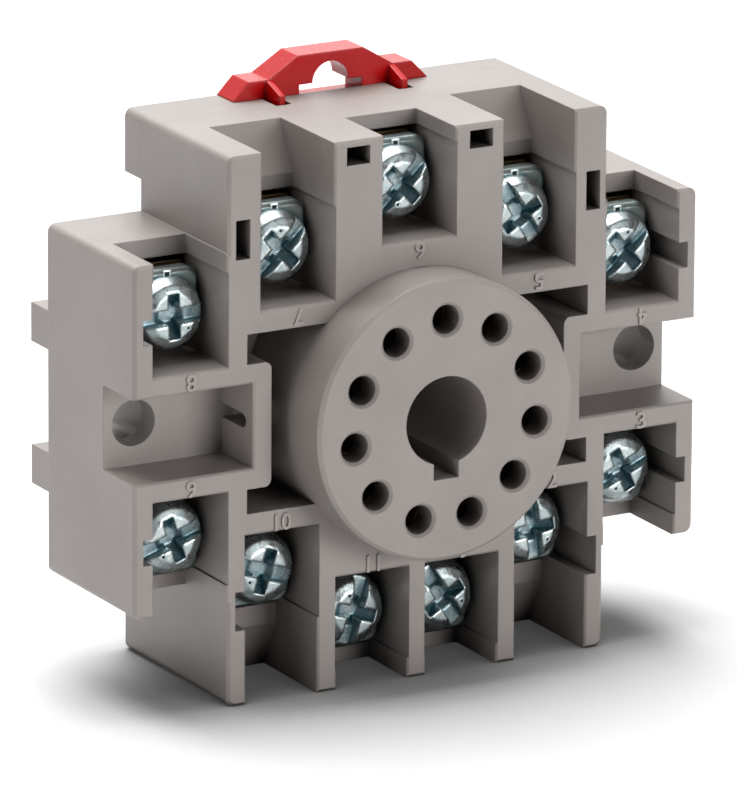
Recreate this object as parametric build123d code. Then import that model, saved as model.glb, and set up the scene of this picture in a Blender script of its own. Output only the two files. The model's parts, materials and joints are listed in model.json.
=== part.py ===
from build123d import *
import os
from math import atan2, cos, degrees, hypot, radians, sin

# Eleven-pin plug-in relay socket with screw terminals, millimetres.
# X runs to the right, Y from the front to the back, Z up.
# The origin is on the plug's axis, at the front face of the round boss.

# Round boss and its holes
BOSS_R = 13.3
BOSS_PROUD = 5.25
BOSS_EDGE = 0.35
PIN_COUNT = 11
PIN_CIRCLE_R = 9.525
PIN_HOLE_R = 1.38
PIN_HOLE_EDGE = 0.3
PIN_HOLE_LIP = 2.9
KEY_BORE_R = 4.2
KEY_WIDTH = 2.6
KEY_REACH = 5.55
KEY_DEPTH = 15.0

# Housing outline: a tall block crossed by a wide one
HOUSING_DEPTH = 16.85
TALL_W = 39.56
TALL_H = 52.0
WIDE_W = 58.78
WIDE_TOP = 17.0
WIDE_BOTTOM = -16.3
CORNER_R = 0.8
EDGE = 0.3
MOUTH_EDGE = 0.2

# Terminal bays
BAY_W = 7.76
BAY_LEDGE = 0.16
BAY_BACK = 8.0
BAY_BACK_SHORT = 7.45
BAY_SLOPE = 2.3
TOP_BAY_FLOOR = 15.7
UPPER_BAY_X = 12.57
UPPER_BAY_FLOOR = 11.2
SIDE_BAY_X = 23.6
SIDE_BAY_FLOOR = 6.35
SIDE_BAY_CEILING = -5.45
LOWER_BAY_X = 14.14
LOWER_BAY_CEILING = -9.85
BOTTOM_BAY_X = 4.7
BOTTOM_BAY_CEILING = -15.2

# Screw centre, measured from the closed end of its bay, and the ledge above it
SCREW_FROM_FLOOR = 4.5
SCREW_FROM_CEILING = 4.8
LEDGE_FROM_END = 8.85

# Grooves in the outer walls of six bays
GROOVE_DEPTH = 0.97
GROOVE_H = 2.45
GROOVE_LOW_H = 3.7
GROOVE_UPPER_Z = 10.7
GROOVE_SIDE_Z = -10.0
GROOVE_LOWER_Z = -16.95

# Pockets beside the boss and the recesses for the panel screws
POCKET_X = 17.8
POCKET_TOP = 9.2
POCKET_BOTTOM = -7.8
POCKET_DEPTH = 9.0
FRAME_X = 15.3
FRAME_R = 0.7
RECESS_X = 17.15
RECESS_TOP = 4.5
RECESS_BOTTOM = -3.5
RECESS_DEPTH = 6.0
PANEL_HOLE_X = 26.3
PANEL_HOLE_R = 2.2
PANEL_WALL = 2.5
PANEL_RELIEF_W = 5.8
PANEL_RELIEF_H = 6.6
PANEL_RELIEF_X = 25.65
SIDE_SLOT_W = 1.35
SIDE_SLOT_FRONT = 1.45

# Blind tag sockets in the upper fins
TAG_DEPTH = 4.0
TAG_OUTER_X = 18.25
TAG_OUTER_Z = 18.15
TAG_OUTER_W = 1.45
TAG_OUTER_H = 3.7
TAG_INNER_X = 6.4
TAG_INNER_Z = 24.55
TAG_INNER_W = 2.4
TAG_INNER_H = 1.7

# Rear chamber for the contacts, closed by the rear base
WALL = 1.9
CHAMBER_DEPTH = 5.5
BASE_PLATE_T = 2.0
FIT = 0.06
POST_W = 7.9
POST_H = 8.6

# Rear base: rail ribs, hook and feet
RIB_DEPTH = 3.75
TOP_RIB_H = 6.0
RIB_EDGE = 0.6
RAIL_H = 35.0
RAIL_LIP_T = 1.0
RAIL_PLAY = 0.2
HOOK_BITE = 2.0
FOOT_INSET = 0.2
FOOT_W = 7.2
FOOT_H = 3.7
FOOT_Z = 6.8

# Rail latch
LATCH_T = 3.2
LATCH_BODY_W = 17.0
LATCH_PLAY = 0.15
LATCH_TRAVEL = 3.0
HEAD_W = 20.4
HEAD_SHOULDER_W = 17.1
HEAD_SHOULDER_Z = 1.72
HEAD_STEP_W = 13.1
HEAD_TOP_W = 6.9
HEAD_TOP_Z = 3.62
ARCH_R = 1.9
ARCH_Z = 0.85
WINDOW_W = 6.6
WINDOW_BOTTOM = -0.6
GUIDE_X = 6.42
GUIDE_W = 0.6
GUIDE_PROUD = 2.45
GUIDE_TOP = 0.75
GUIDE_RISE = 0.9
GUIDE_LENGTH = 8.8
NOTCH_PLAY = 0.5
NOTCH_END = 0.3
TONGUE = 1.0
TONGUE_T = 1.2
TONGUE_H = 1.9
NOSE_BITE = 1.8
NOSE_BEVEL = 1.2

# Terminal screws
HEAD_R = 3.4
HEAD_H = 2.05
HEAD_RIM = 0.75
HEAD_FLAT_R = 2.1
HEAD_BREAK_R = 2.95
HEAD_BREAK = 0.42
HEAD_FRONT = 8.35
SHANK_R = 1.75
SHANK_LENGTH = 7.4
SLOT_W = 1.5
SLOT_DEPTH = 1.1
CROSS_W = 1.15
CROSS_REACH = 2.15
CROSS_ROOT = 0.85
CROSS_DEPTH = 1.75
CROSS_SHOULDER = 0.4
HOLE_PLAY = 0.08
SCREW_ANGLES = {1: -32, 2: -8, 3: 66, 4: 50, 5: -32, 6: 48, 7: 48, 8: 88, 9: 72, 10: -72, 11: 17}

# Clamp plates
CLAMP_W = 7.3
CLAMP_T = 1.5
CLAMP_WIRE_SIDE = 3.9
CLAMP_CLOSED_SIDE = 3.4
CLAMP_CORNER = 1.3
CLAMP_BEVEL = 1.9
CLAMP_EDGE = 0.35
CLAMP_GAP = 1.85
SEAT = 0.02

# Contacts
PLATE_T = 1.2
PLATE_W = 7.2
PLATE_SHORT = 0.65
STRIP_T = 0.8
STRIP_GAP = 0.6
STRIP_W = 2.6
CLIP_T = 0.45
CLIP_W = 2.8
CLIP_GAP = 2.1
CLIP_LEAD = 1.3
CLIP_FLARE = 0.2
CLIP_PLAY = 0.1

# Planes along Y, worked out from the sizes above
FRONT = BOSS_PROUD
REAR = FRONT + HOUSING_DEPTH
RIB_BACK = REAR + RIB_DEPTH
CHAMBER = REAR - CHAMBER_DEPTH
PLATE_FRONT = REAR - BASE_PLATE_T
HEAD_SEAT = HEAD_FRONT + HEAD_H
CLAMP_FRONT = HEAD_SEAT + SEAT
CLAMP_BACK = CLAMP_FRONT + CLAMP_T
TERMINAL = CLAMP_BACK + CLAMP_GAP
STRIP = CHAMBER + STRIP_GAP
OVER = 1.0
TOP = TALL_H / 2
BOTTOM = -TALL_H / 2


def bay(number, x, end, way, opening, back=BAY_BACK, slope=0.0, groove=None):
    """One terminal bay. way is +1 where wires enter from above and -1 from below."""
    screw = end + SCREW_FROM_FLOOR if way > 0 else end - SCREW_FROM_CEILING
    return dict(number=number, x=x, end=end, way=way, opening=opening, back=back, slope=slope,
                groove=groove, screw=screw, ledge=end + way * LEDGE_FROM_END)


def all_bays():
    """The eleven bays, numbered as the relay's pins are, seen from the front."""
    upper = dict(end=UPPER_BAY_FLOOR, way=1, opening=TOP, slope=BAY_SLOPE)
    side_up = dict(end=SIDE_BAY_FLOOR, way=1, opening=WIDE_TOP, groove=(GROOVE_UPPER_Z, GROOVE_H))
    side_down = dict(end=SIDE_BAY_CEILING, way=-1, opening=WIDE_BOTTOM, groove=(GROOVE_SIDE_Z, GROOVE_H))
    lower = dict(end=LOWER_BAY_CEILING, way=-1, opening=BOTTOM, slope=BAY_SLOPE,
                 groove=(GROOVE_LOWER_Z, GROOVE_LOW_H))
    bottom = dict(end=BOTTOM_BAY_CEILING, way=-1, opening=BOTTOM, back=BAY_BACK_SHORT)
    top = dict(end=TOP_BAY_FLOOR, way=1, opening=TOP, back=BAY_BACK_SHORT)
    return [bay(1, BOTTOM_BAY_X, **bottom), bay(2, LOWER_BAY_X, **lower), bay(3, SIDE_BAY_X, **side_down),
            bay(4, SIDE_BAY_X, **side_up), bay(5, UPPER_BAY_X, **upper), bay(6, 0.0, **top),
            bay(7, -UPPER_BAY_X, **upper), bay(8, -SIDE_BAY_X, **side_up), bay(9, -SIDE_BAY_X, **side_down),
            bay(10, -LOWER_BAY_X, **lower), bay(11, -BOTTOM_BAY_X, **bottom)]


def pin_angle(number):
    """Bearing of a pin hole in degrees: the key slot points down, between the last pin and the first."""
    return -90 + (number - 0.5) * 360 / PIN_COUNT


def pin_centre(number):
    """Centre of a pin hole as (x, z)."""
    angle = radians(pin_angle(number))
    return PIN_CIRCLE_R * cos(angle), PIN_CIRCLE_R * sin(angle)


def at_pin(number, shape):
    """A shape drawn on the Y axis with its X outward, moved to a pin hole."""
    x, z = pin_centre(number)
    return Pos(x, 0, z) * (Rot(0, -pin_angle(number), 0) * shape)


def block(x0, x1, y0, y1, z0, z1):
    """A box between two corners, given in any order."""
    size = (abs(x1 - x0), abs(y1 - y0), abs(z1 - z0))
    return Pos((x0 + x1) / 2, (y0 + y1) / 2, (z0 + z1) / 2) * Box(*size)


def facing(y):
    """Drawing plane at depth y, seen from the front."""
    return Plane(origin=(0, y, 0), x_dir=(1, 0, 0), z_dir=(0, -1, 0))


def prism(sketch, y0, y1):
    """A front-view sketch given thickness from y0 back to y1."""
    return extrude(facing(y0) * sketch, amount=-(y1 - y0))


def rod(x, z, radius, y0, y1):
    """A round bar or hole along Y."""
    return prism(Pos(x, z) * Circle(radius), y0, y1)


def mouth(x0, x1, z0, z1, y):
    """The bevelled lip of a rectangular opening in a face at depth y."""
    centre = Pos((x0 + x1) / 2, (z0 + z1) / 2)
    width, height = abs(x1 - x0), abs(z1 - z0)
    wide = facing(y - MOUTH_EDGE) * (centre * Rectangle(width + 4 * MOUTH_EDGE, height + 4 * MOUTH_EDGE))
    narrow = facing(y + MOUTH_EDGE) * (centre * Rectangle(width, height))
    return loft([wide, narrow])


def mirrored(shape):
    """A shape and its mirror image across the middle."""
    return shape + mirror(shape, Plane.YZ)


def housing_outline():
    """Front view of the housing: the tall block and the wide one."""
    wide = RectangleRounded(WIDE_W, WIDE_TOP - WIDE_BOTTOM, CORNER_R)
    return Pos(0, (WIDE_TOP + WIDE_BOTTOM) / 2) * wide + RectangleRounded(TALL_W, TALL_H, CORNER_R)


def chamber_outline(gap=0.0):
    """Front view of the rear chamber, or of the plate that closes it when a gap is given."""
    inset = WALL + gap
    wide = Rectangle(WIDE_W - 2 * inset, WIDE_TOP - WIDE_BOTTOM - 2 * inset)
    tall = Rectangle(TALL_W - 2 * inset, TALL_H - 2 * inset)
    post = Rectangle(POST_W + 2 * gap, POST_H + 2 * gap)
    post = Pos(WIDE_W / 2 - POST_W / 2, (RECESS_TOP + RECESS_BOTTOM) / 2) * post
    return Pos(0, (WIDE_TOP + WIDE_BOTTOM) / 2) * wide + tall - post - mirror(post, Plane.YZ)


def housing_body():
    """The moulding before anything is cut into it."""
    body = prism(housing_outline(), FRONT, REAR)
    body = chamfer(body.faces().sort_by(Axis.Y)[0].edges(), EDGE)
    boss = rod(0, 0, BOSS_R, 0, FRONT + POCKET_DEPTH + OVER)
    boss = chamfer(boss.faces().sort_by(Axis.Y)[0].edges(), BOSS_EDGE)
    return body + boss


def bay_cut(b):
    """Everything cut away for one terminal bay."""
    way, x = b["way"], b["x"]
    half = BAY_W / 2
    narrow = half - BAY_LEDGE
    back = FRONT + b["back"]
    beyond = b["opening"] + way * OVER
    cut = block(x - half, x + half, FRONT - OVER, CHAMBER + OVER, b["end"], b["ledge"])
    cut += block(x - narrow, x + narrow, FRONT - OVER, back, b["end"], beyond)
    low, high = sorted((b["end"], beyond))
    cut += mouth(x - narrow, x + narrow, low, high, FRONT)
    if b["slope"]:
        lean_from = b["opening"] - way * 2 * b["slope"]
        side = Polyline((back - OVER, lean_from), (back, lean_from), (back + b["slope"], b["opening"]),
                        (back + b["slope"], beyond), (back - OVER, beyond), close=True)
        face = Plane(origin=(x - narrow, 0, 0), x_dir=(0, 1, 0), z_dir=(1, 0, 0)) * make_face(side)
        cut += extrude(face, amount=2 * narrow)
    if b["groove"]:
        z, height = b["groove"]
        outward = 1 if x > 0 else -1
        reach = x + outward * (half + GROOVE_DEPTH)
        cut += block(x, reach, FRONT - OVER, back, z - height / 2, z + height / 2)
    return cut


def pocket_cut():
    """The deep pockets left and right of the boss."""
    middle = (POCKET_TOP + POCKET_BOTTOM) / 2
    opening = Pos(0, middle) * Rectangle(2 * POCKET_X, POCKET_TOP - POCKET_BOTTOM)
    top, bottom = SIDE_BAY_FLOOR, SIDE_BAY_CEILING
    reach = POCKET_X - FRAME_X + OVER
    frame = Pos(FRAME_X + reach / 2, (top + bottom) / 2) * Rectangle(reach, top - bottom)
    frame = fillet(frame.vertices().group_by(Axis.X)[0], FRAME_R)
    opening = opening - frame - mirror(frame, Plane.YZ) - Circle(BOSS_R)
    return prism(opening, FRONT - OVER, FRONT + POCKET_DEPTH)


def recess_cut():
    """Recess, hole and relief for the right-hand panel screw, and the slot in the recess wall."""
    outside = WIDE_W / 2 + OVER
    floor = FRONT + RECESS_DEPTH
    middle = (RECESS_TOP + RECESS_BOTTOM) / 2
    cut = block(RECESS_X, outside, FRONT - OVER, floor, RECESS_BOTTOM, RECESS_TOP)
    cut += mouth(RECESS_X, outside, RECESS_BOTTOM, RECESS_TOP, FRONT)
    cut += rod(PANEL_HOLE_X, middle, PANEL_HOLE_R, floor - OVER, REAR + OVER)
    relief = Pos(PANEL_RELIEF_X, middle) * RectangleRounded(PANEL_RELIEF_W, PANEL_RELIEF_H, CORNER_R)
    cut += prism(relief, floor + PANEL_WALL, REAR + OVER)
    r = SIDE_SLOT_W / 2
    start = FRONT + SIDE_SLOT_FRONT + r
    slot = block(FRAME_X - OVER, RECESS_X + OVER, start, floor, middle - r, middle + r)
    end = Cylinder(r, RECESS_X - FRAME_X + 2 * OVER)
    return cut + slot + Pos((FRAME_X + RECESS_X) / 2, start, middle) * (Rot(0, 90, 0) * end)


def tag_cut():
    """Blind sockets in the right-hand upper fins."""
    cut = None
    for x, z, w, h in ((TAG_OUTER_X, TAG_OUTER_Z, TAG_OUTER_W, TAG_OUTER_H),
                       (TAG_INNER_X, TAG_INNER_Z, TAG_INNER_W, TAG_INNER_H)):
        socket = block(x - w / 2, x + w / 2, FRONT - OVER, FRONT + TAG_DEPTH, z - h / 2, z + h / 2)
        cut = socket if cut is None else cut + socket
    return cut


def boss_holes():
    """Key bore with its slot, and the pin holes, with a well behind each one's lip for a contact clip."""
    cut = rod(0, 0, KEY_BORE_R, -OVER, KEY_DEPTH)
    cut += block(-KEY_WIDTH / 2, KEY_WIDTH / 2, -OVER, KEY_DEPTH, -KEY_REACH, 0)
    long_side = CLIP_W / 2 + CLIP_PLAY
    short_side = CLIP_GAP / 2 + CLIP_T + CLIP_FLARE + CLIP_PLAY
    well = block(-long_side, long_side, PIN_HOLE_LIP, CHAMBER + OVER, -short_side, short_side)
    for number in range(1, PIN_COUNT + 1):
        x, z = pin_centre(number)
        cut += rod(x, z, PIN_HOLE_R, -OVER, PIN_HOLE_LIP + OVER)
        cut += at_pin(number, well)
        flare = Cone(PIN_HOLE_R, PIN_HOLE_R + PIN_HOLE_EDGE, PIN_HOLE_EDGE)
        cut += Pos(x, PIN_HOLE_EDGE / 2, z) * (Rot(90, 0, 0) * flare)
    return cut


def notch_cut(z_low):
    """Notches in the housing's top wall and the base plate for the latch's two guides."""
    front = REAR - GUIDE_PROUD - NOTCH_END
    half = GUIDE_W / 2 + NOTCH_PLAY
    return mirrored(block(GUIDE_X - half, GUIDE_X + half, front, REAR + OVER, z_low, TOP + OVER))


def front_housing():
    """The grey front moulding."""
    housing = housing_body()
    for b in all_bays():
        housing -= bay_cut(b)
    housing -= pocket_cut()
    housing -= mirrored(recess_cut())
    housing -= mirrored(tag_cut())
    housing -= prism(chamber_outline(), CHAMBER, REAR + OVER)
    housing -= boss_holes()
    housing -= notch_cut(TOP - WALL - OVER)
    return housing


def foot():
    """One of the four feet that stand in the rail's trough."""
    outer = WIDE_W / 2 - FOOT_INSET
    return block(outer - FOOT_W, outer, REAR, RIB_BACK, FOOT_Z - FOOT_H / 2, FOOT_Z + FOOT_H / 2)


def rear_base():
    """The grey rear moulding: closing plate, rail ribs with the fixed hook, and four feet."""
    base = prism(chamber_outline(FIT), PLATE_FRONT, REAR)
    rail_edge = RAIL_H / 2 + RAIL_PLAY
    low_h = -rail_edge - BOTTOM
    top = Pos(0, TOP - TOP_RIB_H / 2) * Rectangle(TALL_W, TOP_RIB_H)
    low = Pos(0, BOTTOM + low_h / 2) * Rectangle(TALL_W, low_h)
    for outline, side in ((top, -1), (low, 0)):
        corners = outline.vertices().group_by(Axis.Y)[side]
        rib = prism(fillet(corners, CORNER_R), REAR, RIB_BACK)
        back = rib.faces().sort_by(Axis.Y)[-1]
        base += chamfer(back.edges().group_by(Axis.Z)[side], RIB_EDGE)
    hook = REAR + RAIL_LIP_T + RAIL_PLAY
    base += block(-TALL_W / 2, TALL_W / 2, hook, RIB_BACK, -rail_edge, -rail_edge + HOOK_BITE)
    feet = mirrored(foot())
    base += feet + mirror(feet, Plane.XY)
    slot = LATCH_BODY_W / 2 + LATCH_PLAY
    base -= block(-slot, slot, REAR, RIB_BACK + OVER, TOP - TOP_RIB_H - OVER, TOP + OVER)
    groove = slot + TONGUE
    y0, y1 = tongue_span()
    groove_top = TOP - TOP_RIB_H + TONGUE_H + LATCH_TRAVEL + LATCH_PLAY
    base -= block(-groove, groove, y0 - LATCH_PLAY, y1 + LATCH_PLAY, TOP - TOP_RIB_H - OVER, groove_top)
    base -= notch_cut(TOP + GUIDE_TOP - GUIDE_LENGTH - OVER)
    return base


def tongue_span():
    """Front and back of the latch's side tongues."""
    middle = REAR + LATCH_PLAY / 2 + LATCH_T / 2
    return middle - TONGUE_T / 2, middle + TONGUE_T / 2


def rail_latch():
    """The red slide: head, finger arch, body with side tongues, guides, and the nose for the rail."""
    y0 = REAR + LATCH_PLAY / 2
    y1 = y0 + LATCH_T
    rail_edge = RAIL_H / 2 + RAIL_PLAY
    right = [(HEAD_W / 2, SEAT), (HEAD_SHOULDER_W / 2, HEAD_SHOULDER_Z), (HEAD_STEP_W / 2, HEAD_SHOULDER_Z),
             (HEAD_TOP_W / 2, HEAD_TOP_Z)]
    left = [(-x, z) for x, z in reversed(right)]
    head = Polyline(*right, *left, close=True)
    body_h = TOP - rail_edge
    outline = make_face(head) + Pos(0, -body_h / 2 + SEAT) * Rectangle(LATCH_BODY_W, body_h)
    window = Pos(0, (ARCH_Z + WINDOW_BOTTOM) / 2) * Rectangle(WINDOW_W, ARCH_Z - WINDOW_BOTTOM)
    arch = Pos(0, ARCH_Z) * Circle(ARCH_R) - Pos(0, ARCH_Z - ARCH_R) * Rectangle(2 * ARCH_R, 2 * ARCH_R)
    latch = prism(Pos(0, TOP) * (outline - (window + arch)), y0, y1)
    nose_front = REAR + RAIL_LIP_T + RAIL_PLAY
    bite = rail_edge - NOSE_BITE
    side = Polyline((nose_front, rail_edge + OVER), (y1, rail_edge + OVER), (y1, bite + NOSE_BEVEL),
                    (y1 - NOSE_BEVEL, bite), (nose_front, bite), close=True)
    nose = Plane(origin=(-LATCH_BODY_W / 2, 0, 0), x_dir=(0, 1, 0), z_dir=(1, 0, 0)) * make_face(side)
    latch += extrude(nose, amount=LATCH_BODY_W)
    tongue_y0, tongue_y1 = tongue_span()
    tongue_z = TOP - TOP_RIB_H
    reach = LATCH_BODY_W / 2 + TONGUE
    latch += block(-reach, reach, tongue_y0, tongue_y1, tongue_z, tongue_z + TONGUE_H)
    front, high = REAR - GUIDE_PROUD, TOP + GUIDE_TOP
    side = Polyline((front, high - GUIDE_LENGTH), (front, high), (y0, high + GUIDE_RISE),
                    (y0 + OVER, high + GUIDE_RISE), (y0 + OVER, high - GUIDE_LENGTH), close=True)
    guide = Plane(origin=(GUIDE_X - GUIDE_W / 2, 0, 0), x_dir=(0, 1, 0), z_dir=(1, 0, 0)) * make_face(side)
    return latch + mirrored(extrude(guide, amount=GUIDE_W))


def terminal_screw(b):
    """Screw with a crowned head, a cross recess and a long slot across it."""
    tip = -HEAD_H - SHANK_LENGTH
    side = Polyline((0, 0), (0, tip), (SHANK_R, tip), (SHANK_R, -HEAD_H), (HEAD_R, -HEAD_H),
                    (HEAD_R, HEAD_RIM - HEAD_H), (HEAD_BREAK_R, -HEAD_BREAK), (HEAD_FLAT_R, 0), close=True)
    screw = revolve(Plane.XZ * make_face(side), Axis.Z)
    wing = Polyline((-CROSS_REACH, OVER), (CROSS_REACH, OVER), (CROSS_REACH, -CROSS_SHOULDER),
                    (CROSS_ROOT, -CROSS_DEPTH), (-CROSS_ROOT, -CROSS_DEPTH), (-CROSS_REACH, -CROSS_SHOULDER),
                    close=True)
    blade = extrude(Plane.XZ * make_face(wing), amount=CROSS_W / 2, both=True)
    screw -= blade
    screw -= Rot(0, 0, 90) * blade
    screw -= block(-SLOT_W / 2, SLOT_W / 2, -HEAD_R - OVER, HEAD_R + OVER, -SLOT_DEPTH, OVER)
    turned = Rot(0, 0, -SCREW_ANGLES[b["number"]]) * screw
    return Pos(b["x"], HEAD_FRONT, b["screw"]) * (Rot(90, 0, 0) * turned)


def wire_clamp(b):
    """Stamped plate under the screw head, square on the side where the wire enters."""
    half = CLAMP_W / 2
    wire, closed = CLAMP_WIRE_SIDE, -CLAMP_CLOSED_SIDE
    plate = Pos(0, (wire + closed) / 2) * Rectangle(2 * half, wire - closed)
    plate = fillet(plate.vertices().group_by(Axis.Y)[-1], CLAMP_CORNER)
    plate = chamfer(plate.vertices().group_by(Axis.Y)[0], CLAMP_BEVEL)
    clamp = prism(plate, CLAMP_FRONT, CLAMP_BACK)
    clamp = chamfer(clamp.faces().sort_by(Axis.Y)[0].edges(), CLAMP_EDGE)
    clamp -= rod(0, 0, SHANK_R + HOLE_PLAY, CLAMP_FRONT - OVER, CLAMP_BACK + OVER)
    if b["way"] < 0:
        clamp = mirror(clamp, Plane.XY)
    return Pos(b["x"], 0, b["screw"]) * clamp


def pin_clip():
    """Folded spring clip on the Y axis: two leaves with flared tips on a back that joins the strap."""
    tip = PIN_HOLE_LIP + FIT
    neck = tip + CLIP_LEAD
    back = STRIP + STRIP_T
    inner = CLIP_GAP / 2
    outer = inner + CLIP_T
    leaf = Polyline((back, 0), (back, outer), (neck, outer), (tip, outer + CLIP_FLARE),
                    (tip, inner + CLIP_FLARE), (neck, inner), (STRIP, inner), (STRIP, 0), close=True)
    leaf = make_face(leaf)
    side = Plane(origin=(-CLIP_W / 2, 0, 0), x_dir=(0, 1, 0), z_dir=(1, 0, 0))
    return extrude(side * (leaf + mirror(leaf, Plane.XZ)), amount=CLIP_W)


def contact(b):
    """Brass strip: tapped plate in the bay, strap through the chamber, spring clip for the pin."""
    way, x = b["way"], b["x"]
    near = b["end"] + way * FIT
    far = b["ledge"] - way * PLATE_SHORT
    half = PLATE_W / 2
    plate = block(x - half, x + half, TERMINAL, TERMINAL + PLATE_T, near, far)
    plate -= rod(x, b["screw"], SHANK_R + HOLE_PLAY, TERMINAL - OVER, TERMINAL + PLATE_T + OVER)
    bend = block(x - STRIP_W / 2, x + STRIP_W / 2, TERMINAL, STRIP + STRIP_T, near, near + way * STRIP_T)
    pin_x, pin_z = pin_centre(b["number"])
    start_z = near + way * STRIP_T / 2
    run = hypot(pin_x - x, pin_z - start_z)
    angle = degrees(atan2(pin_z - start_z, pin_x - x))
    middle = Pos((pin_x + x) / 2, (pin_z + start_z) / 2)
    strap = prism(middle * (Rot(0, 0, angle) * Rectangle(run, STRIP_W)), STRIP, STRIP + STRIP_T)
    return plate + bend + strap + at_pin(b["number"], pin_clip())


def save(shape, name):
    """Write one piece as a STEP file named after its node."""
    shape.label = name
    export_step(shape, f"parts/{name}.step")


os.makedirs("parts", exist_ok=True)
save(front_housing(), "front_housing")
save(rear_base(), "rear_base")
save(rail_latch(), "rail_latch")
for one_bay in all_bays():
    save(terminal_screw(one_bay), f"terminal_screw_{one_bay['number']}")
    save(wire_clamp(one_bay), f"wire_clamp_{one_bay['number']}")
    save(contact(one_bay), f"contact_{one_bay['number']}")
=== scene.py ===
# Relay socket: grey mouldings, red rail latch, zinc plated screws and clamps, brass contacts
import json
import math

import bpy
from mathutils import Matrix, Vector


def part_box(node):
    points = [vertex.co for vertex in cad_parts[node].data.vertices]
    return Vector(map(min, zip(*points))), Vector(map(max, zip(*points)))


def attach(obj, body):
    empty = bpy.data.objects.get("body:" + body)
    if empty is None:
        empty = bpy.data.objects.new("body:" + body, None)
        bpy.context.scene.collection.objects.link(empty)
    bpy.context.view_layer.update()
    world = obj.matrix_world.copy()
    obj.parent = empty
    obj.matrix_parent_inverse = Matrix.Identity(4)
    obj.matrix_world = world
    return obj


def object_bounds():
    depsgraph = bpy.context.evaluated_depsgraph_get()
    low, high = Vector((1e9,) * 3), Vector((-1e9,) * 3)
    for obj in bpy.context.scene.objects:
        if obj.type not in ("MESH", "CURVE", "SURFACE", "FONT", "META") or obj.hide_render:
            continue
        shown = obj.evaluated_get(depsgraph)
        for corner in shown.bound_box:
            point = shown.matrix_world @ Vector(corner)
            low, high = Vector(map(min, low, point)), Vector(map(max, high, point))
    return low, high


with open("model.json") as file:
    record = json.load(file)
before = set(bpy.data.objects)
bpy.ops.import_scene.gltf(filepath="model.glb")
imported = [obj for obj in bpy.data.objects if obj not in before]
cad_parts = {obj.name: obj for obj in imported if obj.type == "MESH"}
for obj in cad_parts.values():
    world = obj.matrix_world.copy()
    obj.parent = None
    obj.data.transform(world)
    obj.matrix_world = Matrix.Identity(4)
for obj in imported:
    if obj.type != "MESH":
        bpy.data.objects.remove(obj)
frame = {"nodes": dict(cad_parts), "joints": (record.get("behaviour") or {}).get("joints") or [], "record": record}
cadLow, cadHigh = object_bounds()
mm = 0.001
print("frame loaded:", len(frame["nodes"]), "nodes")


# Small helpers

def toLinear(code):  # sRGB hex to the linear colour that Blender works in
    parts = [int(code[i:i + 2], 16) / 255 for i in (1, 3, 5)]
    return tuple(p / 12.92 if p <= 0.04045 else ((p + 0.055) / 1.055) ** 2.4 for p in parts) + (1.0,)


def addNode(tree, kind, settings=None, values=None, links=None):
    node = tree.nodes.new(kind)
    for name, value in (settings or {}).items():
        setattr(node, name, value)
    for name, value in (values or {}).items():
        node.inputs[name].default_value = value
    for name, source in (links or {}).items():
        tree.links.new(source, node.inputs[name])
    return node


def newMaterial(name):
    material = bpy.data.materials.new(name)
    material.use_nodes = True
    material.node_tree.nodes.clear()
    return material, material.node_tree


def fitRamp(ramp, places, codes):
    while len(ramp.elements) < len(places):
        ramp.elements.new(0.5)
    for element, place, code in zip(ramp.elements, places, codes):
        element.position = place
        element.color = toLinear(code)


def spread(source, target=(0.0, 1.0)):  # values that map one pair of ends to another
    return {"From Min": source[0], "From Max": source[1], "To Min": target[0], "To Max": target[1]}


def scaleFor(sizeMm):  # noise scale for a feature of that size, on coordinates in metres
    return 1.0 / (sizeMm * mm)


# Moulded thermoplastic, used for the grey housing and base and for the red latch

greyPlastic = {
    "name": "PBT moulded grey",
    "dark": "#88817d", "light": "#908985",   # glass filled PBT: warm grey with faint flow clouds
    "cloudMm": 9.0,
    "grainMm": 0.22, "grainDepthMm": 0.010,  # spark eroded mould texture, drawn coarser than its real 0.05 mm
    "edgeMm": 0.16,                          # a moulding's edges are never quite sharp
    "roughness": (0.40, 0.50),
    "deep": "#201d1b", "deepMm": 4.0,        # painted shade: far inside a hole or corner the grey is painted dark
    "ior": 1.57}

redPlastic = {
    "name": "nylon moulded red",
    "dark": "#ae0306", "light": "#b90709",   # pigmented nylon: even red that only mirrors at a low angle
    "cloudMm": 6.0,
    "grainMm": 0.30, "grainDepthMm": 0.006,
    "edgeMm": 0.20,
    "roughness": (0.18, 0.28),
    # painted shade: far inside a hole or corner the red is painted dark
    "deep": "#5c0203", "deepMm": 3.0,
    "ior": 1.38}

bothPlastics = {
    "cloudEnds": (0.32, 0.68),               # noise at which the colour is all dark, and all light
    "grainEnds": (0.3, 0.7),                 # noise at which the surface is glossiest, and most matt
    "openEnds": (0.08, 0.42),                # how open a spot is where the painted shade is darkest, and where there is none
    "bump": 0.8}


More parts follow.
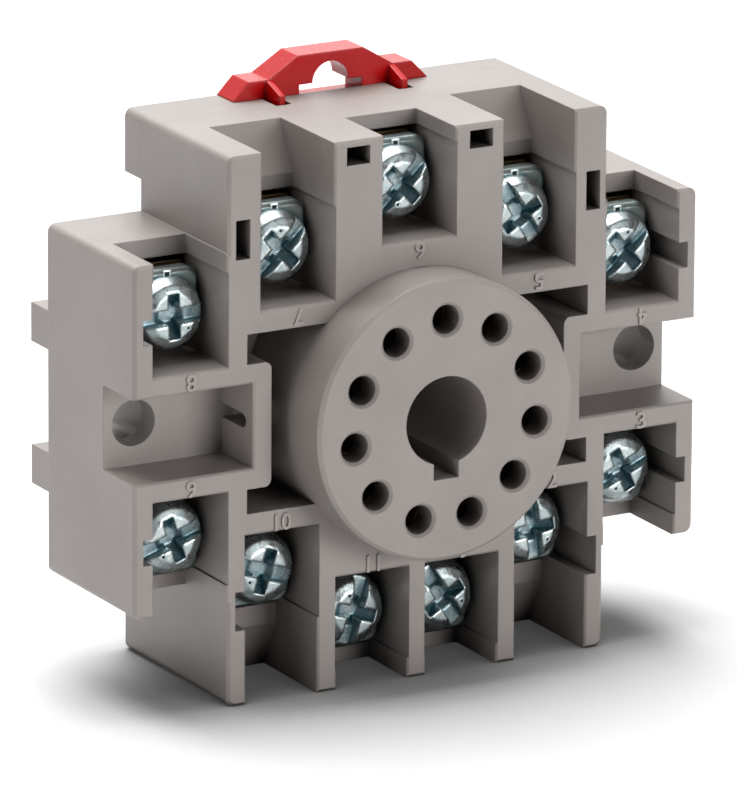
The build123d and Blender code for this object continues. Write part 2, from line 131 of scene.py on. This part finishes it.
def mouldedPlastic(look):
    material, tree = newMaterial(look["name"])
    place = addNode(tree, "ShaderNodeTexCoord").outputs["Object"]
    clouds = addNode(tree, "ShaderNodeTexNoise", links={"Vector": place},
                     values={"Scale": scaleFor(look["cloudMm"]), "Detail": 3.0, "Roughness": 0.55})
    colour = addNode(tree, "ShaderNodeValToRGB", links={"Fac": clouds.outputs["Fac"]})
    fitRamp(colour.color_ramp, bothPlastics["cloudEnds"], (look["dark"], look["light"]))
    # painted shade: the colour is mixed towards the dark shade colour where little is open around a spot
    inside = addNode(tree, "ShaderNodeAmbientOcclusion", settings={"samples": 6},
                     values={"Distance": look["deepMm"] * mm})
    shadeAmount = addNode(tree, "ShaderNodeMapRange", values=spread(bothPlastics["openEnds"]),
                     links={"Value": inside.outputs["AO"]})
    tone = addNode(tree, "ShaderNodeMix", settings={"data_type": "RGBA"},
                   values={"A": toLinear(look["deep"])},
                   links={"Factor": shadeAmount.outputs["Result"], "B": colour.outputs["Color"]})
    grain = addNode(tree, "ShaderNodeTexNoise", links={"Vector": place},
                    values={"Scale": scaleFor(look["grainMm"]), "Detail": 2.0})
    gloss = addNode(tree, "ShaderNodeMapRange", values=spread(bothPlastics["grainEnds"], look["roughness"]),
                    links={"Value": grain.outputs["Fac"]})
    rounded = addNode(tree, "ShaderNodeBevel", settings={"samples": 10},
                      values={"Radius": look["edgeMm"] * mm})
    bump = addNode(tree, "ShaderNodeBump",
                   values={"Strength": bothPlastics["bump"], "Distance": look["grainDepthMm"] * mm},
                   links={"Height": grain.outputs["Fac"], "Normal": rounded.outputs["Normal"]})
    shader = addNode(tree, "ShaderNodeBsdfPrincipled", values={"IOR": look["ior"]},
                     links={"Base Color": tone.outputs["Result"], "Roughness": gloss.outputs["Result"],
                            "Normal": bump.outputs["Normal"]})
    addNode(tree, "ShaderNodeOutputMaterial", links={"Surface": shader.outputs["BSDF"]})
    return material


# Zinc plated steel with clear blue chromate: bright where it faces the light, with a painted teal shade in its
# recesses

zincScrew = {
    "name": "zinc plated steel, blue chromate",
    "bright": "#c2caca", "tint": "#9ba8aa",
    "recess": "#3b6b77",                      # partly the chromate's own teal tint, partly painted shade: recesses are painted dark where light bounces twice
    "recessMm": 1.3,
    "mottleMm": 0.8,
    "roughness": (0.20, 0.42),
    "film": 0.45,                             # metallic part of the painted recess shade: the rest of it is matt
    "pitMm": 0.30, "pitDepthMm": 0.012,
    "edgeMm": 0.42}                           # cold headed: the crown rolls over, with no sharp rim

zincClamp = {
    "name": "zinc plated steel, stamped",
    "bright": "#98a19f", "tint": "#717d7a",   # flat blanks plate duller than the heads
    # painted shade: the clamp's recesses are painted dark
    "recess": "#3c5054",
    "recessMm": 0.9,
    "mottleMm": 1.2,
    "roughness": (0.28, 0.46),
    "film": 0.75,
    "pitMm": 0.35, "pitDepthMm": 0.008,
    "edgeMm": 0.30}

contactBrass = {
    "name": "brass, stamped and dulled",
    "bright": "#9c8560", "tint": "#80694a",   # a thin oxide takes the yellow's shine
    # painted shade: the contact's recesses are painted dark
    "recess": "#3c3025",
    "recessMm": 1.0,
    "mottleMm": 1.5,
    "roughness": (0.28, 0.45),
    "film": 0.85,
    "pitMm": 0.25, "pitDepthMm": 0.004,
    "edgeMm": 0.08}

allMetals = {
    "mottleEnds": (0.35, 0.65),               # noise at which a patch is all bright, and all tint
    "openEnds": (0.5, 0.92),                  # how open a spot is where it is all painted recess shade, and where plain
    "bump": 0.7}


def platedMetal(look):
    material, tree = newMaterial(look["name"])
    place = addNode(tree, "ShaderNodeTexCoord").outputs["Object"]
    mottle = addNode(tree, "ShaderNodeTexNoise", links={"Vector": place},
                     values={"Scale": scaleFor(look["mottleMm"]), "Detail": 4.0, "Roughness": 0.6})
    patches = addNode(tree, "ShaderNodeValToRGB", links={"Fac": mottle.outputs["Fac"]})
    fitRamp(patches.color_ramp, allMetals["mottleEnds"], (look["bright"], look["tint"]))
    # painted shade: the colour is mixed towards the recess colour where little is open around a spot
    depth = addNode(tree, "ShaderNodeAmbientOcclusion", settings={"samples": 6},
                    values={"Distance": look["recessMm"] * mm})
    shadeAmount = addNode(tree, "ShaderNodeMapRange", values=spread(allMetals["openEnds"]),
                     links={"Value": depth.outputs["AO"]})
    colour = addNode(tree, "ShaderNodeMix", settings={"data_type": "RGBA"},
                     values={"A": toLinear(look["recess"])},
                     links={"Factor": shadeAmount.outputs["Result"], "B": patches.outputs["Color"]})
    metalness = addNode(tree, "ShaderNodeMapRange", links={"Value": depth.outputs["AO"]},
                        values=spread(allMetals["openEnds"], (look["film"], 1.0)))
    gloss = addNode(tree, "ShaderNodeMapRange", values=spread(allMetals["mottleEnds"], look["roughness"]),
                    links={"Value": mottle.outputs["Fac"]})
    pits = addNode(tree, "ShaderNodeTexNoise", links={"Vector": place},
                   values={"Scale": scaleFor(look["pitMm"]), "Detail": 2.0})
    rounded = addNode(tree, "ShaderNodeBevel", settings={"samples": 10},
                      values={"Radius": look["edgeMm"] * mm})
    bump = addNode(tree, "ShaderNodeBump",
                   values={"Strength": allMetals["bump"], "Distance": look["pitDepthMm"] * mm},
                   links={"Height": pits.outputs["Fac"], "Normal": rounded.outputs["Normal"]})
    shader = addNode(tree, "ShaderNodeBsdfPrincipled",
                     links={"Base Color": colour.outputs["Result"], "Metallic": metalness.outputs["Result"],
                            "Roughness": gloss.outputs["Result"], "Normal": bump.outputs["Normal"]})
    addNode(tree, "ShaderNodeOutputMaterial", links={"Surface": shader.outputs["BSDF"]})
    return material


finishes = {"grey_plastic": mouldedPlastic(greyPlastic), "red_plastic": mouldedPlastic(redPlastic),
            "zinc_plated_steel": platedMetal(zincScrew), "zinc_plated_clamp": platedMetal(zincClamp),
            "brass": platedMetal(contactBrass)}
slotOf = {row["node"]: row["material_slot"] for row in frame["record"]["subparts"]}
for name, node in frame["nodes"].items():
    node.data.materials.clear()
    node.data.materials.append(finishes[slotOf[name]])
print("materials on every node")


# Where each terminal is: the screw's axis in its bay, and the side that its wire comes from

terminalCount = 11
terminals = {}
for number in range(1, terminalCount + 1):
    joint = next(j for j in frame["joints"] if j["name"] == f"screw_turn_{number}")
    x, z = joint["pos_m"][0], joint["pos_m"][2]
    terminals[number] = {"x": x, "z": z, "way": 1 if z > 0 else -1}


def addPiece(name, mesh, body):
    piece = bpy.data.objects.new(name, mesh)
    bpy.context.scene.collection.objects.link(piece)
    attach(piece, body)
    return piece


# Terminal numbers, raised on the housing's front beside the closed end of each bay

numbering = {
    "tall": 1.6 * mm, "wide": 1.0 * mm,        # of one figure
    "wideOf": {1: 0.5 * mm, 10: 1.65 * mm, 11: 1.35 * mm},
    "lineOverTall": 1.4,                       # the typeface's line height over its figures' height
    "proud": 0.17 * mm, "sunk": 0.04 * mm, "softEdge": 0.03 * mm,
    "stroke": 0.03 * mm,                       # added all round a figure's strokes
    "plane": 5.25 * mm,                        # the housing's front
    "fromUpperScrew": 5.40 * mm, "fromLowerScrew": 5.68 * mm}

# the same plastic, painted a little paler than the face that the figures stand on: a painted highlight on the
# raised figures
highlitFigurePlastic = dict(greyPlastic, name="PBT moulded grey, figures", edgeMm=0.03,
                     dark="#938c88", light="#9b9490")
finishes["grey_figures"] = mouldedPlastic(highlitFigurePlastic)


def figureMesh(number):
    curve = bpy.data.curves.new(f"figure_{number}", "FONT")
    curve.body = str(number)
    curve.size = numbering["tall"] * numbering["lineOverTall"]
    curve.extrude = (numbering["proud"] + numbering["sunk"]) / 2
    curve.offset = numbering["stroke"] - numbering["softEdge"]
    curve.bevel_depth = numbering["softEdge"]
    curve.bevel_resolution = 1
    curve.resolution_u = 4
    holder = bpy.data.objects.new(f"figure_{number}", curve)
    mesh = bpy.data.meshes.new_from_object(holder)
    bpy.data.objects.remove(holder)
    return mesh


def buildNumbers():
    for number, spot in terminals.items():
        mesh = figureMesh(number)
        low = [min(v.co[i] for v in mesh.vertices) for i in range(3)]
        high = [max(v.co[i] for v in mesh.vertices) for i in range(3)]
        wide = numbering["wideOf"].get(number, numbering["wide"])
        squeeze = wide / (high[0] - low[0])
        stretch = numbering["tall"] / (high[1] - low[1])
        upright = -spot["way"]                 # a figure's foot is on the side that the wire comes from
        reach = numbering["fromUpperScrew"] if spot["way"] > 0 else numbering["fromLowerScrew"]
        z = spot["z"] - spot["way"] * reach
        y = numbering["plane"] - (numbering["proud"] - numbering["sunk"]) / 2
        for v in mesh.vertices:
            across = (v.co.x - (low[0] + high[0]) / 2) * squeeze * upright
            up = (v.co.y - (low[1] + high[1]) / 2) * stretch * upright
            v.co = (spot["x"] + across, y - v.co.z, z + up)
        mesh.materials.append(finishes["grey_figures"])
        addPiece(f"number_{number}", mesh, "socket")
    print("numbers:", len(terminals))


# Press marks: a square pip on each upper clamp's wire side and a round one on each screw's head

pressMarks = {                                 # sizes in millimetres, places from the screw's axis
    "clamp": {"sides": 4, "outer": 0.43, "crest": 0.38, "inner": 0.25, "height": 0.06,
              "out": 3.45, "across": 0.3},
    "screw": {"sides": 20, "outer": 0.31, "crest": 0.25, "inner": 0.17, "height": 0.045,
              "out": 1.85},
    "pitFloor": {"wide": 0.9, "high": 0.25},   # as parts of the inner radius and of the height
    "bearing": {1: 345, 2: 321, 3: 247, 4: 83, 5: 345, 6: 252, 7: 95, 8: 320, 9: 231, 10: 205, 11: 111}}

# painted highlight and painted shade: a clamp mark's rim is painted bright, and every mark's pit floor is painted
# dark
highlitRimSteel = dict(zincClamp, name="steel raised at a press mark",
                bright="#e4eaea", tint="#d2d9d9", recess="#9aa5a5")
shadedPitSteel = dict(zincClamp, name="steel bared at a press mark",
                bright="#3b4444", tint="#262c2c", recess="#15191a")
finishes["press_mark"] = platedMetal(shadedPitSteel)
finishes["press_rim"] = platedMetal(highlitRimSteel)


def craterMesh(name, look, centre, rim):
    sides, pit = look["sides"], pressMarks["pitFloor"]
    x, y, z = centre
    mesh = bpy.data.meshes.new(name)
    rings = [(look["outer"], 0.0), (look["crest"], look["height"]), (look["inner"], look["height"]),
             (look["inner"] * pit["wide"], look["height"] * pit["high"])]
    last = len(rings) - 1
    corners = []
    for radius, lift in rings:
        for step in range(sides):
            turn = 2 * math.pi * (step + 0.5) / sides
            reach = radius * mm / (math.cos(math.pi / sides) if sides == 4 else 1)  # a square's: to its flats
            corners.append((x + reach * math.cos(turn), y - lift * mm, z + reach * math.sin(turn)))
    faces = []
    for ring in range(last):
        for step in range(sides):
            ahead = (step + 1) % sides
            faces.append((ring * sides + step, ring * sides + ahead, (ring + 1) * sides + ahead,
                          (ring + 1) * sides + step))
    faces.append(tuple(last * sides + step for step in range(sides)))
    mesh.from_pydata(corners, [], faces)
    mesh.materials.append(rim)
    mesh.materials.append(finishes["press_mark"])
    # painted shade: the pit's floor takes the dark steel
    mesh.polygons[-1].material_index = 1
    mesh.validate()
    return mesh


def buildPressMarks():
    upper = [number for number, spot in terminals.items() if spot["way"] > 0]
    for number in upper:
        spot, look = terminals[number], pressMarks["clamp"]
        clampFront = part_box(f"wire_clamp_{number}")[0][1]
        centre = (spot["x"] + look["across"] * mm, clampFront, spot["z"] + look["out"] * mm)
        mesh = craterMesh(f"clamp_mark_{number}", look, centre, finishes["press_rim"])
        addPiece(f"clamp_mark_{number}", mesh, f"clamp_{number}")
    for number, spot in terminals.items():
        look = pressMarks["screw"]
        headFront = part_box(f"terminal_screw_{number}")[0][1]
        bearing = math.radians(pressMarks["bearing"][number])
        out = look["out"] * mm
        centre = (spot["x"] + out * math.cos(bearing), headFront, spot["z"] + out * math.sin(bearing))
        mesh = craterMesh(f"screw_mark_{number}", look, centre, finishes["zinc_plated_steel"])
        addPiece(f"screw_mark_{number}", mesh, f"screw_{number}")
    print("press marks:", len(upper) + len(terminals))


buildNumbers()
buildPressMarks()


# Studio: white floor, white backdrop behind, a dim room in front, soft lights above and beside

studio = {
    "floorSize": 4.0,
    "floorColour": "#e9e9e9",
    "contactShade": 0.16, "contactMm": 15.0,   # the painted shadow's darkest tone on the floor beside the socket, and how far it reaches
    "openEnds": (0.25, 0.95),                  # how open the floor is where the painted shadow is darkest, and where plain
    "floorLift": 0.04,                         # what the camera adds to the floor, so that it reads as white
    "ambient": 0.08,
    "ground": "#e8e8e8", "horizon": "#9a9a9a", "zenith": "#ffffff",
    "skyPlaces": (0.30, 0.52, 0.85),           # of those three, from 0 straight down to 1 straight up
    "room": "#5c5c5c", "backdrop": "#ffffff",  # what gloss mirrors: in front of the socket, and behind it
    "roomPlaces": (0.40, 0.72)}                # of those two, from 0 in front to 1 behind

lamps = [  # name, place, aim, size and power in watts
    ("overheadSoftbox", (0.0, 0.24, 0.63), (0, 0, 0), (0.6, 0.7), 9.0),
    ("frontFill", (0.31, -0.90, 0.20), (0, 0, 0), (0.5, 0.36), 5.6),
    ("backGlow", (0.47, 0.88, 0.30), (0, 0, 0), (0.7, 0.5), 0.9),
    ("sideFill", (-0.85, -0.14, 0.20), (0, 0, 0), (0.6, 0.45), 1.35)]


def buildWorld():
    world = bpy.data.worlds.new("studio")
    world.use_nodes = True
    tree = world.node_tree
    tree.nodes.clear()
    rays = addNode(tree, "ShaderNodeLightPath")
    direction = addNode(tree, "ShaderNodeTexCoord").outputs["Generated"]
    parts = addNode(tree, "ShaderNodeSeparateXYZ", links={"Vector": direction})
    fromSigned = spread((-1.0, 1.0))
    level = addNode(tree, "ShaderNodeMapRange", values=fromSigned, links={"Value": parts.outputs["Z"]})
    depth = addNode(tree, "ShaderNodeMapRange", values=fromSigned, links={"Value": parts.outputs["Y"]})
    sky = addNode(tree, "ShaderNodeValToRGB", links={"Fac": level.outputs["Result"]})
    fitRamp(sky.color_ramp, studio["skyPlaces"], (studio["ground"], studio["horizon"], studio["zenith"]))
    around = addNode(tree, "ShaderNodeBackground", values={"Strength": studio["ambient"]},
                     links={"Color": sky.outputs["Color"]})
    mirrored = addNode(tree, "ShaderNodeValToRGB", links={"Fac": depth.outputs["Result"]})
    fitRamp(mirrored.color_ramp, studio["roomPlaces"], (studio["room"], studio["backdrop"]))
    gloss = addNode(tree, "ShaderNodeBackground", links={"Color": mirrored.outputs["Color"]})
    behind = addNode(tree, "ShaderNodeBackground", values={"Color": toLinear(studio["backdrop"])})
    clear = addNode(tree, "ShaderNodeMath", settings={"operation": "MAXIMUM"},
                    links={0: rays.outputs["Is Camera Ray"], 1: rays.outputs["Is Transmission Ray"]})
    lit = addNode(tree, "ShaderNodeMixShader",
                  links={0: rays.outputs["Is Glossy Ray"], 1: around.outputs["Background"],
                         2: gloss.outputs["Background"]})
    both = addNode(tree, "ShaderNodeMixShader",
                   links={0: clear.outputs["Value"], 1: lit.outputs["Shader"],
                          2: behind.outputs["Background"]})
    addNode(tree, "ShaderNodeOutputWorld", links={"Surface": both.outputs["Shader"]})
    bpy.context.scene.world = world


def buildFloor():
    half = studio["floorSize"] / 2
    floorZ = cadLow.z
    mesh = bpy.data.meshes.new("floor")
    corners = [(-half, -half), (half, -half), (half, half), (-half, half)]
    mesh.from_pydata([(x, y, floorZ) for x, y in corners], [], [(0, 1, 2, 3)])
    floor = bpy.data.objects.new("floor", mesh)
    bpy.context.scene.collection.objects.link(floor)
    material, tree = newMaterial("studio floor")
    rays = addNode(tree, "ShaderNodeLightPath")
    lift = addNode(tree, "ShaderNodeMath", settings={"operation": "MULTIPLY"},
                   values={1: studio["floorLift"]}, links={0: rays.outputs["Is Camera Ray"]})
    # painted shadow: the floor's colour is darkened towards black close beside the socket
    beside = addNode(tree, "ShaderNodeAmbientOcclusion", settings={"samples": 16},
                     values={"Distance": studio["contactMm"] * mm})
    shade = addNode(tree, "ShaderNodeMapRange", links={"Value": beside.outputs["AO"]},
                    values=spread(studio["openEnds"], (studio["contactShade"], 1.0)))
    tone = addNode(tree, "ShaderNodeMix", settings={"data_type": "RGBA"},
                   values={"A": (0, 0, 0, 1), "B": toLinear(studio["floorColour"])},
                   links={"Factor": shade.outputs["Result"]})
    matt = addNode(tree, "ShaderNodeBsdfDiffuse", links={"Color": tone.outputs["Result"]})
    glow = addNode(tree, "ShaderNodeEmission", values={"Color": (1, 1, 1, 1)},
                   links={"Strength": lift.outputs["Value"]})
    both = addNode(tree, "ShaderNodeAddShader", links={0: matt.outputs["BSDF"], 1: glow.outputs["Emission"]})
    addNode(tree, "ShaderNodeOutputMaterial", links={"Surface": both.outputs["Shader"]})
    mesh.materials.append(material)


def buildLamps():
    for name, place, aim, size, power in lamps:
        data = bpy.data.lights.new(name, "AREA")
        data.shape = "RECTANGLE"
        data.size, data.size_y = size
        data.energy = power
        lamp = bpy.data.objects.new(name, data)
        lamp.location = place
        lamp.rotation_euler = (Vector(aim) - Vector(place)).to_track_quat("-Z", "Y").to_euler()
        bpy.context.scene.collection.objects.link(lamp)


cameraView = {                                 # lengths in metres, lens and sensor in millimetres
    "place": (-0.453456, -0.800138, 0.272850),
    "right": (0.874554, -0.484898, 0.005401),
    "up": (0.132500, 0.249659, 0.959226),
    "lens": 474.12, "sensor": 36.0,
    "near": 0.05, "far": 20.0}


def buildCamera():
    data = bpy.data.cameras.new("camera")
    data.lens = cameraView["lens"]
    data.sensor_width = cameraView["sensor"]
    data.clip_start, data.clip_end = cameraView["near"], cameraView["far"]
    camera = bpy.data.objects.new("camera", data)
    right, up = Vector(cameraView["right"]), Vector(cameraView["up"])
    back = right.cross(up)
    turn = Matrix((right, up, back)).transposed().to_4x4()
    camera.matrix_world = Matrix.Translation(Vector(cameraView["place"])) @ turn
    bpy.context.scene.collection.objects.link(camera)
    bpy.context.scene.camera = camera


buildWorld()
buildFloor()
buildLamps()
buildCamera()
bpy.context.scene.view_settings.view_transform = "Standard"
print("studio and camera ready")
